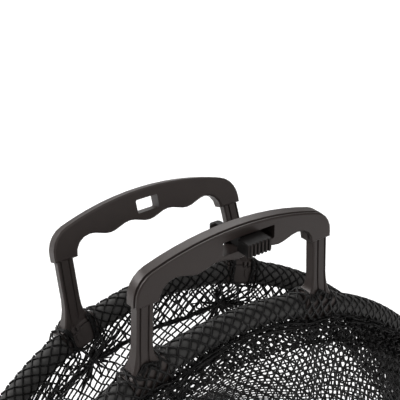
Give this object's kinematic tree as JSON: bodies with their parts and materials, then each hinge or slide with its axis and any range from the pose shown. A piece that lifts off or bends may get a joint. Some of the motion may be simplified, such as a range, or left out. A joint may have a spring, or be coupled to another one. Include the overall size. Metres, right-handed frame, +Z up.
{
  "type": "fishing keepnet",
  "caption": "Round fishing keepnet: hooped net bag under a purse mouth of two hinged, foam-covered half-round rims with moulded handles and a thumb latch.",
  "frame": {"origin": "middle of the base hoop's underside, on the ground", "axes": "+X along the hinge axis, +Y from the front rim to the rear rim, +Z up"},
  "size_m": [0.3764, 0.3764, 0.399],
  "materials": {
    "moulded_plastic": "satin",
    "coated_wire": "satin",
    "steel": "satin",
    "foam": "matte",
    "netting": "matte"
  },
  "bodies": {
    "base": {"base_hoop": "coated_wire", "base_net": "netting", "lower_net": "netting"},
    "lower": {"lower_hoop": "coated_wire", "middle_net": "netting"},
    "upper": {"upper_hoop": "coated_wire", "upper_net": "netting"},
    "mouth": {"mouth_hoop": "coated_wire", "hinge_bracket_left": "steel", "hinge_bracket_right": "steel", "hinge_pin_left": "steel", "hinge_pin_right": "steel", "front_net": "netting", "rear_net": "netting"},
    "front_rim": {"front_rod": "steel", "front_float_left": "foam", "front_float_centre": "foam", "front_float_right": "foam", "front_handle": "moulded_plastic", "front_clamp_cap_left": "moulded_plastic", "front_clamp_cap_right": "moulded_plastic"},
    "rear_rim": {"rear_rod": "steel", "rear_float_left": "foam", "rear_float_centre": "foam", "rear_float_right": "foam", "rear_handle": "moulded_plastic", "rear_clamp_cap_left": "moulded_plastic", "rear_clamp_cap_right": "moulded_plastic"},
    "latch": {"latch_slider": "moulded_plastic", "latch_hook": "moulded_plastic"}
  },
  "joints": [
    {"name": "lower_hoop_rise", "type": "slide", "parent": "base", "child": "lower", "axis": [0, 0, 1], "range_m": [0, 0.06], "deforming": ["lower_net"]},
    {"name": "upper_hoop_rise", "type": "slide", "parent": "lower", "child": "upper", "axis": [0, 0, 1], "range_m": [0, 0.06], "deforming": ["middle_net"]},
    {"name": "mouth_hoop_rise", "type": "slide", "parent": "upper", "child": "mouth", "axis": [0, 0, 1], "range_m": [0, 0.06], "deforming": ["upper_net"]},
    {"name": "front_rim_swing", "type": "hinge", "parent": "mouth", "child": "front_rim", "pos_m": [0, 0, 0.17277], "axis": [1, 0, 0], "range_deg": [0, 90], "deforming": ["front_net"]},
    {"name": "rear_rim_swing", "type": "hinge", "parent": "mouth", "child": "rear_rim", "pos_m": [0, 0, 0.17277], "axis": [1, 0, 0], "range_deg": [-72.3, 17.7], "deforming": ["rear_net"]},
    {"name": "latch_slide", "type": "slide", "parent": "front_rim", "child": "latch", "axis": [-1, 0, 0], "range_m": [0, 0.0065]}
  ],
  "couplings": [
    {"joint": "upper_hoop_rise", "follows": "lower_hoop_rise", "ratio": 1},
    {"joint": "mouth_hoop_rise", "follows": "lower_hoop_rise", "ratio": 1}
  ]
}
